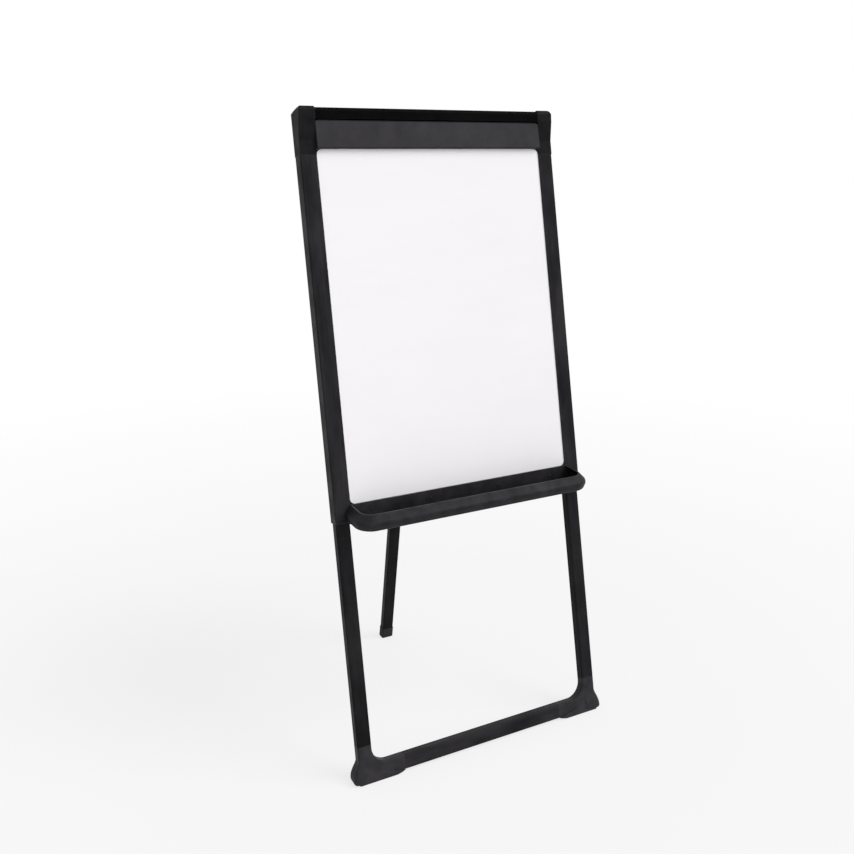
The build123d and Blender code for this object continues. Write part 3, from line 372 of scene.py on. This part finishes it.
rail_coat = coated_extrusion("rail_coat", ALONG_LEAN, *RAIL_TONES)
leg_coat = coated_extrusion("leg_coat", ALONG_LEAN, *LEG_TONES, dust=0.13)
crossbar_coat = coated_extrusion("crossbar_coat", ALONG_X, *RAIL_TONES, dust=0.25)
bottom_rail_coat = coated_extrusion("bottom_rail_coat", ALONG_X, *RAIL_TONES)
rear_leg_coat = coated_extrusion("rear_leg_coat", ALONG_REAR, *LEG_TONES, dust=0.13)
header_moulding = moulding(
    "header_moulding",
    dark=(0.0012, 0.0011, 0.0013),
    light=(0.003, 0.0028, 0.0032),
    rough=0.62,
    dust=0.04,
    specular=0.02,
    worn_and_highlit=0.15,
)
cap_moulding = moulding(
    "cap_moulding",
    dark=(0.005, 0.0047, 0.0053),
    light=(0.0115, 0.0107, 0.0121),
    rough=0.55,
    dust=0.06,
    specular=0.05,
    worn_and_highlit=0.3,
)
clamp_moulding = moulding(
    "clamp_moulding", dark=(0.0235, 0.0219, 0.0247), light=(0.034, 0.0316, 0.0357), rough=0.5
)
tray_moulding = moulding(
    "tray_moulding",
    dark=(0.0095, 0.0088, 0.01),
    light=(0.025, 0.0233, 0.0263),
    rough=0.5,
    # Level faces painted paler: partly dust, partly painted light in the shaded trough
    level_dust_and_light=0.13,
)
boot_moulding = moulding(
    "boot_moulding",
    dark=(0.017, 0.0158, 0.0179),
    light=(0.036, 0.0335, 0.0378),
    rough=0.5,
    grain_scale=700.0,
)
fitting_moulding = moulding(
    "fitting_moulding",
    dark=(0.0065, 0.006, 0.0068),
    light=(0.0135, 0.0126, 0.0142),
    rough=0.45,
    grain_scale=1100.0,
)
soft_rubber = moulding(
    "soft_rubber",
    dark=(0.012, 0.012, 0.012),
    light=(0.024, 0.024, 0.023),
    rough=0.85,
    grain_scale=500.0,
    dust=0.5,
    specular=0.2,
    relief=0.6,
)
bracket_coat = moulding(
    "bracket_coat",
    dark=(0.012, 0.012, 0.013),
    light=(0.02, 0.02, 0.022),
    rough=0.42,
    grain_scale=1600.0,
    specular=0.4,
    relief=0.5,
)
zinc = plated_steel("zinc", dark=(0.42, 0.42, 0.43), light=(0.6, 0.59, 0.57), rough=0.34)
black_screw = plated_steel(
    "black_screw", dark=(0.03, 0.03, 0.032), light=(0.06, 0.06, 0.063), rough=0.42
)
spring_steel = plated_steel(
    "spring_steel", dark=(0.3, 0.3, 0.31), light=(0.45, 0.45, 0.46), rough=0.3
)
board_skin = dry_wipe_skin(clean=(0.895, 0.878, 0.903), hazy=(0.876, 0.859, 0.884))
board_back = pressed_hardboard(
    dark=(0.17, 0.1, 0.055), light=(0.24, 0.15, 0.085), fibre=(0.33, 0.23, 0.14)
)

# Each finish by the end of its nodes' names, so that "leg_guide" stands for all three guides
FINISHES = {
    "rail": rail_coat,
    "bottom_rail": bottom_rail_coat,
    "leg_tube": leg_coat,
    "crossbar": crossbar_coat,
    "rear_upper_tube": rear_leg_coat,
    "rear_lower_tube": rear_leg_coat,
    "header_beam": header_moulding,
    "corner_cap": cap_moulding,
    "clamp_bar": clamp_moulding,
    "tray": tray_moulding,
    "foot": boot_moulding,
    "collar": fitting_moulding,
    "leg_guide": fitting_moulding,
    "lock_knob": fitting_moulding,
    "rear_leg_head": fitting_moulding,
    "clamp_grip": soft_rubber,
    "foot_pad": soft_rubber,
    "rear_foot": soft_rubber,
    "board_face": board_skin,
    "board_core": board_back,
    "hinge_bracket": bracket_coat,
    "corner_brackets": zinc,
    "hinge_pin": zinc,
    "clamp_pins": zinc,
    "lock_nut": zinc,
    "lock_stud": zinc,
    "screws": zinc,
    "clamp_springs": spring_steel,
    "tray_screws": black_screw,
    "foot_screws": black_screw,
}


def finish_of(node_name):
    """The finish whose name is the longest one that the node's name ends with."""
    fitting = [key for key in FINISHES if node_name.endswith(key)]
    return FINISHES[max(fitting, key=len)]


for node_name, node in nodes.items():
    node.data.materials.clear()
    node.data.materials.append(finish_of(node_name))
    node.select_set(False)


# Screws: each plain CAD screw gets a turned head with a star recess
SHANK_RADIUS = 0.0019
HEAD_RADIUS = 0.0040
HEAD_HEIGHT = 0.0022
SHOULDER_RADIUS = HEAD_RADIUS * 0.93
CROWN_RADIUS = SHOULDER_RADIUS * 0.84
RECESS_RADIUS = 0.0019
RECESS_DEPTH = 0.0013
CORNERS = 24
LOBES = 6
# How far the hollows between the lobes are pulled in, and the recess narrows to its floor
HOLLOW_PULL = 0.72
RECESS_TAPER = 0.85
SMOOTH_BELOW = radians(35.0)

# Radius and height of each ring of a head, from its underside to the rim of its recess
HEAD_RINGS = (
    (HEAD_RADIUS, 0.0),
    (HEAD_RADIUS, HEAD_HEIGHT * 0.5),
    (SHOULDER_RADIUS, HEAD_HEIGHT * 0.8),
    (CROWN_RADIUS, HEAD_HEIGHT),
    (RECESS_RADIUS, HEAD_HEIGHT),
)

BACKWARDS = Vector((0.0, cos(LEAN), -sin(LEAN)))
UP_THE_FRAME = Vector((0.0, sin(LEAN), cos(LEAN)))
BEHIND_THE_LEG = Vector((0.0, cos(REAR_SLOPE), sin(REAR_SLOPE)))

# Corner screws further out than this stand in the side rails
SIDE_RAILS_FROM = 0.34
# How far each screw of a node is turned past the one before
NEXT_TURN = radians(47.0)
# Points nearer than this are the same
SAME_PLACE = 1e-6
# Screws are put in order by their places, to a tenth of a millimetre
PLACE_DIGITS = 4
# A CAD screw's crown is the corners within this of its top
CROWN_DEPTH = 0.00005


def select_in_edit(mesh_object, parts, wanted):
    """In edit mode, selects only the faces or verts for which wanted(part) is true."""
    bpy.ops.mesh.select_all(action="DESELECT")
    shape = bmesh.from_edit_mesh(mesh_object.data)
    for part in getattr(shape, parts):
        if wanted(part):
            part.select_set(True)
    bmesh.update_edit_mesh(mesh_object.data)


def spread(factor):
    bpy.ops.transform.resize(value=(factor, factor, 1.0))


def raise_by(height):
    bpy.ops.mesh.extrude_region_move(TRANSFORM_OT_translate={"value": (0.0, 0.0, height)})


def faces_up(face):
    return face.normal.z > 0.9


def in_middle(face):
    return faces_up(face) and face.calc_center_median().xy.length < RECESS_RADIUS * 0.1


def in_star_hollow(vertex):
    """Two corners out of every four round the recess, which leaves six lobes."""
    around = round(degrees(atan2(vertex.co.y, vertex.co.x)) * CORNERS / 360.0)
    on_rim = vertex.co.xy.length < RECESS_RADIUS * 1.01
    on_top = abs(vertex.co.z - HEAD_HEIGHT) < SAME_PLACE
    return on_rim and on_top and around % (CORNERS // LOBES) in (1, 2)


def star_screw(length):
    """A pan-head screw along Z, its head standing on the origin, drawn up from its shank."""
    bpy.ops.mesh.primitive_cylinder_add(
        vertices=CORNERS, radius=SHANK_RADIUS, depth=length, location=(0.0, 0.0, -length / 2)
    )
    screw = bpy.context.object
    bpy.ops.object.transform_apply(location=True)
    bpy.ops.object.mode_set(mode="EDIT")
    select_in_edit(screw, "faces", faces_up)
    radius, height = SHANK_RADIUS, 0.0
    for ring_radius, ring_height in HEAD_RINGS:
        raise_by(ring_height - height)
        spread(ring_radius / radius)
        radius, height = ring_radius, ring_height
    bpy.ops.mesh.select_mode(type="VERT")
    select_in_edit(screw, "verts", in_star_hollow)
    spread(HOLLOW_PULL)
    bpy.ops.mesh.select_mode(type="FACE")
    select_in_edit(screw, "faces", in_middle)
    raise_by(-RECESS_DEPTH)
    spread(RECESS_TAPER)
    bpy.ops.object.mode_set(mode="OBJECT")
    bpy.ops.object.shade_smooth_by_angle(angle=SMOOTH_BELOW)
    screw.select_set(False)
    return screw


def centre(points):
    return sum(points, Vector()) / len(points)


def rounded_centre(points):
    return [round(value, PLACE_DIGITS) for value in centre(points)]


def islands(node):
    """The separate solids of a CAD node, each as its corner points, always in the same order."""
    shape = bmesh.new()
    shape.from_mesh(node.data)
    bmesh.ops.remove_doubles(shape, verts=shape.verts, dist=SAME_PLACE)
    visited = set()
    found = []
    for start in shape.verts:
        if start in visited:
            continue
        visited.add(start)
        reached = [start]
        for vertex in reached:
            for edge in vertex.link_edges:
                other = edge.other_vert(vertex)
                if other not in visited:
                    visited.add(other)
                    reached.append(other)
        found.append([vertex.co.copy() for vertex in reached])
    shape.free()
    return sorted(found, key=rounded_centre)


def corner_screw_way(middle):
    """Screw heads on the side rails face the middle, and those on the bottom rail face up."""
    if abs(middle.x) > SIDE_RAILS_FROM:
        return Vector((1.0 if middle.x < 0 else -1.0, 0.0, 0.0))
    return UP_THE_FRAME


def turned_screws(node_name, body, way_of, finish):
    """Star screws at the places of a node's plain ones, as one piece."""
    screw = None
    copies = []
    for number, points in enumerate(islands(nodes[node_name])):
        way = way_of(centre(points))
        heights = [point.dot(way) for point in points]
        top = max(heights)
        crown = [point for point, height in zip(points, heights) if top - height < CROWN_DEPTH]
        if screw is None:
            screw = star_screw(top - min(heights) - HEAD_HEIGHT)
        copy = screw.copy()
        copy.data = screw.data.copy()
        scene.collection.objects.link(copy)
        own_turn = Matrix.Rotation(NEXT_TURN * number, 3, "Z")
        copy.rotation_euler = (way.to_track_quat("Z", "Y").to_matrix() @ own_turn).to_euler()
        copy.location = centre(crown) - way * HEAD_HEIGHT
        copies.append(copy)
    bpy.data.objects.remove(screw)
    for copy in copies:
        copy.select_set(True)
    bpy.context.view_layer.objects.active = copies[0]
    bpy.ops.object.join()
    bpy.ops.object.transform_apply()
    piece = bpy.context.object
    piece.name = node_name + "_turned"
    piece.select_set(False)
    piece.data.materials.append(finish)
    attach(piece, body)
    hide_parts(node_name)


turned_screws("cap_screws", "upper_frame", lambda middle: BACKWARDS, zinc)
turned_screws("bracket_screws", "upper_frame", lambda middle: BACKWARDS, zinc)
turned_screws("tray_screws", "upper_frame", lambda middle: -BACKWARDS, black_screw)
turned_screws("corner_screws", "upper_frame", corner_screw_way, zinc)
turned_screws("foot_screws", "front_legs", lambda middle: BACKWARDS, black_screw)
turned_screws("head_screws", "rear_leg_upper", lambda middle: BEHIND_THE_LEG, zinc)


# Studio
WHITE = (1.0, 1.0, 1.0, 1.0)
FLOOR_SIZE = 60.0
# How much of the floor's own light gives way to plain white near the easel and far from it,
# and the distances between which that changes
NEAR_WHITE, FAR_WHITE = 0.74, 1.0
FADE_START, FADE_END = 0.9, 4.0
DOME_STRENGTH = 0.42
LAMP_DISTANCE = 4.0


def rays_that_see_white(tree):
    """1 for the rays that should see the plain background, and 0 for those that light things."""
    rays = tree.nodes.new("ShaderNodeLightPath")
    first_two = maths(tree, "MAXIMUM", rays.outputs["Is Camera Ray"], rays.outputs["Is Glossy Ray"])
    return maths(tree, "MAXIMUM", first_two, rays.outputs["Is Transmission Ray"])


def mix_shaders(tree, factor, first, second, output_name):
    """Mixes two shaders on their way to the tree's output."""
    mixed = tree.nodes.new("ShaderNodeMixShader")
    for socket, source in zip(mixed.inputs, (factor, first, second)):
        join(tree, source, socket)
    join(tree, mixed.outputs["Shader"], tree.nodes[output_name].inputs["Surface"])


def floor_paint():
    """Pale floor, lit and shadowed near the easel and plain white to the camera far away."""
    material, tree, shader = new_material("floor", Roughness=0.9, Specular_IOR_Level=0.1)
    place = object_vector(tree)
    grain = noise(tree, place, scale=3.0, detail=3.0)
    pale = blend_colours(tree, grain, (0.86, 0.86, 0.865), (0.88, 0.88, 0.88))
    join(tree, pale, shader.inputs["Base Color"])
    away = vector_maths(tree, "LENGTH", place)
    fade = remap(tree, away, FADE_START, FADE_END, NEAR_WHITE, FAR_WHITE)
    white = add_node(tree, "ShaderNodeEmission", strength=1.0)
    whitened = times(tree, rays_that_see_white(tree), fade)
    mix_shaders(
        tree, whitened, shader.outputs["BSDF"], white.outputs["Emission"], "Material Output"
    )
    return material


bpy.ops.mesh.primitive_plane_add(size=FLOOR_SIZE)
floor = bpy.context.object
floor.name = "floor"
floor.data.materials.append(floor_paint())
floor.select_set(False)

# Plain white to the camera, and a soft dome for the lighting
world = bpy.data.worlds.new("studio")
scene.world = world
world.use_nodes = True
studio_tree = world.node_tree
seen = studio_tree.nodes["Background"]
seen.inputs["Color"].default_value = WHITE
seen.inputs["Strength"].default_value = 1.0
dome = add_node(studio_tree, "ShaderNodeBackground", color=WHITE, strength=DOME_STRENGTH)
mix_shaders(
    studio_tree,
    rays_that_see_white(studio_tree),
    dome.outputs["Background"],
    seen.outputs["Background"],
    "World Output",
)


def soft_sun(name, towards, strength, softness):
    """A broad far lamp that shines from the given direction."""
    lamp = bpy.data.lights.new(name, "SUN")
    lamp.energy = strength
    lamp.angle = radians(softness)
    holder = bpy.data.objects.new(name, lamp)
    holder.location = Vector(towards) * LAMP_DISTANCE
    holder.rotation_euler = Vector(towards).to_track_quat("Z", "Y").to_euler()
    scene.collection.objects.link(holder)


soft_sun("key_light", towards=(0.62, -0.50, 0.78), strength=1.5, softness=35.0)
soft_sun("fill_light", towards=(0.1, -0.95, 0.28), strength=0.7, softness=60.0)

# Camera, worked out from the photograph's perspective
YAW = radians(27.270)
PITCH = radians(13.268)
ROLL = radians(0.157)
camera_data = bpy.data.cameras.new("camera")
camera_data.sensor_width = 36.0
camera_data.lens = 39.140
camera_data.shift_y = -0.075
camera = bpy.data.objects.new("camera", camera_data)
camera.location = (-1.24189, -2.38063, 1.70006)
aim = Euler((radians(90.0) - PITCH, 0.0, -YAW)).to_matrix() @ Matrix.Rotation(ROLL, 3, "Z")
camera.rotation_euler = aim.to_euler()
scene.collection.objects.link(camera)
scene.camera = camera
scene.view_settings.view_transform = "Standard"
